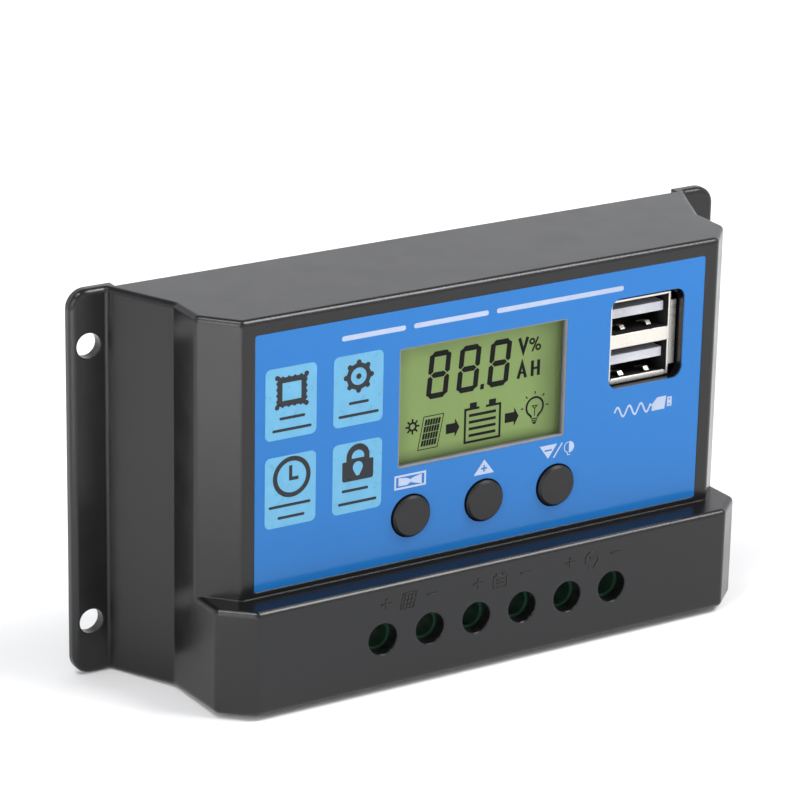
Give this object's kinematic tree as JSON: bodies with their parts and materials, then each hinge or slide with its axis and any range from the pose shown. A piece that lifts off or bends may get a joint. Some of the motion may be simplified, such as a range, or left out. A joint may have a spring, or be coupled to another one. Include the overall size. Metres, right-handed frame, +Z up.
{
  "type": "solar charge controller",
  "caption": "Wall-mounted solar charge controller: grey housing with thin wall ears, blue front overlay, display, stacked charging sockets, push buttons and screw terminals.",
  "frame": {"origin": "centre of the four wall-screw holes, on the rear face", "axes": "+Z up, the front faces -Y, +X to the right when seen from the front"},
  "size_m": [0.1334, 0.034, 0.07],
  "materials": {
    "housing_plastic": "fine satin texture",
    "aluminium_plate": "brushed",
    "zinc_steel": "zinc plated",
    "plated_brass": "nickel plated",
    "tinned_copper": "tinned",
    "printed_overlay": "glossy printed sheet",
    "board_laminate": "solder mask",
    "terminal_plastic": "moulded",
    "display_glass": "display polariser",
    "display_frame": "moulded",
    "white_plastic": "moulded",
    "elastomer": "striped rubber",
    "socket_steel": "nickel plated sheet",
    "contact_metal": "gold flashed",
    "button_plastic": "moulded",
    "stem_plastic": "moulded",
    "black_moulding": "epoxy",
    "tab_metal": "tinned copper tab",
    "silicone_pad": "soft sheet",
    "can_aluminium": "drawn can",
    "sleeve_plastic": "shrunk film",
    "ferrite": "sintered",
    "copper_wire": "enamelled"
  },
  "bodies": {
    "root": {"front_housing": "housing_plastic", "back_plate": "aluminium_plate", "back_plate_screws": "zinc_steel", "board_screws": "zinc_steel", "terminal_bars": "tinned_copper", "transistor_leads": "tinned_copper", "label_overlay": "printed_overlay", "circuit_board": "board_laminate", "terminal_block": "terminal_plastic", "lcd_glass": "display_glass", "lcd_holder": "display_frame", "lcd_backlight": "white_plastic", "usb_tongues": "white_plastic", "lcd_contact_strips": "elastomer", "usb_shell": "socket_steel", "usb_contacts": "contact_metal", "switch_bodies": "black_moulding", "transistor_bodies": "black_moulding", "microcontroller": "black_moulding", "socket_regulator": "black_moulding", "diodes": "black_moulding", "resistors": "black_moulding", "transistor_tabs": "tab_metal", "thermal_pad": "silicone_pad", "capacitor_cans": "can_aluminium", "capacitor_sleeves": "sleeve_plastic", "choke_core": "ferrite", "choke_winding": "copper_wire", "current_shunt": "copper_wire"},
    "menu_key": {"menu_button": "button_plastic", "menu_switch_stem": "stem_plastic"},
    "up_key": {"up_button": "button_plastic", "up_switch_stem": "stem_plastic"},
    "down_key": {"down_button": "button_plastic", "down_switch_stem": "stem_plastic"},
    "solar_plus_screw": {"solar_plus_screw": "zinc_steel"},
    "solar_plus_clamp": {"solar_plus_clamp": "plated_brass"},
    "solar_minus_screw": {"solar_minus_screw": "zinc_steel"},
    "solar_minus_clamp": {"solar_minus_clamp": "plated_brass"},
    "battery_plus_screw": {"battery_plus_screw": "zinc_steel"},
    "battery_plus_clamp": {"battery_plus_clamp": "plated_brass"},
    "battery_minus_screw": {"battery_minus_screw": "zinc_steel"},
    "battery_minus_clamp": {"battery_minus_clamp": "plated_brass"},
    "load_plus_screw": {"load_plus_screw": "zinc_steel"},
    "load_plus_clamp": {"load_plus_clamp": "plated_brass"},
    "load_minus_screw": {"load_minus_screw": "zinc_steel"},
    "load_minus_clamp": {"load_minus_clamp": "plated_brass"}
  },
  "joints": [
    {"name": "menu_press", "type": "slide", "parent": "root", "child": "menu_key", "axis": [0, 1, 0], "range_m": [0, 0.0005], "stiffness_N_per_m": 1000, "springref_m": -0.0006},
    {"name": "up_press", "type": "slide", "parent": "root", "child": "up_key", "axis": [0, 1, 0], "range_m": [0, 0.0005], "stiffness_N_per_m": 1000, "springref_m": -0.0006},
    {"name": "down_press", "type": "slide", "parent": "root", "child": "down_key", "axis": [0, 1, 0], "range_m": [0, 0.0005], "stiffness_N_per_m": 1000, "springref_m": -0.0006},
    {"name": "solar_plus_rise", "type": "slide", "parent": "root", "child": "solar_plus_clamp", "axis": [0, -1, 0], "range_m": [0, 0.0035]},
    {"name": "solar_plus_turn", "type": "hinge", "parent": "root", "child": "solar_plus_screw", "pos_m": [-0.02388, -0.0253, -0.0249], "axis": [0, 1, 0], "range_deg": [0, 1800]},
    {"name": "solar_minus_rise", "type": "slide", "parent": "root", "child": "solar_minus_clamp", "axis": [0, -1, 0], "range_m": [0, 0.0035]},
    {"name": "solar_minus_turn", "type": "hinge", "parent": "root", "child": "solar_minus_screw", "pos_m": [-0.01432, -0.0253, -0.0249], "axis": [0, 1, 0], "range_deg": [0, 1800]},
    {"name": "battery_plus_rise", "type": "slide", "parent": "root", "child": "battery_plus_clamp", "axis": [0, -1, 0], "range_m": [0, 0.0035]},
    {"name": "battery_plus_turn", "type": "hinge", "parent": "root", "child": "battery_plus_screw", "pos_m": [-0.00477, -0.0253, -0.0249], "axis": [0, 1, 0], "range_deg": [0, 1800]},
    {"name": "battery_minus_rise", "type": "slide", "parent": "root", "child": "battery_minus_clamp", "axis": [0, -1, 0], "range_m": [0, 0.0035]},
    {"name": "battery_minus_turn", "type": "hinge", "parent": "root", "child": "battery_minus_screw", "pos_m": [0.00477, -0.0253, -0.0249], "axis": [0, 1, 0], "range_deg": [0, 1800]},
    {"name": "load_plus_rise", "type": "slide", "parent": "root", "child": "load_plus_clamp", "axis": [0, -1, 0], "range_m": [0, 0.0035]},
    {"name": "load_plus_turn", "type": "hinge", "parent": "root", "child": "load_plus_screw", "pos_m": [0.01432, -0.0253, -0.0249], "axis": [0, 1, 0], "range_deg": [0, 1800]},
    {"name": "load_minus_rise", "type": "slide", "parent": "root", "child": "load_minus_clamp", "axis": [0, -1, 0], "range_m": [0, 0.0035]},
    {"name": "load_minus_turn", "type": "hinge", "parent": "root", "child": "load_minus_screw", "pos_m": [0.02388, -0.0253, -0.0249], "axis": [0, 1, 0], "range_deg": [0, 1800]}
  ],
  "couplings": [
    {"joint": "solar_plus_turn", "follows": "solar_plus_rise", "rad_per_m": 8976},
    {"joint": "solar_minus_turn", "follows": "solar_minus_rise", "rad_per_m": 8976},
    {"joint": "battery_plus_turn", "follows": "battery_plus_rise", "rad_per_m": 8976},
    {"joint": "battery_minus_turn", "follows": "battery_minus_rise", "rad_per_m": 8976},
    {"joint": "load_plus_turn", "follows": "load_plus_rise", "rad_per_m": 8976},
    {"joint": "load_minus_turn", "follows": "load_minus_rise", "rad_per_m": 8976}
  ]
}
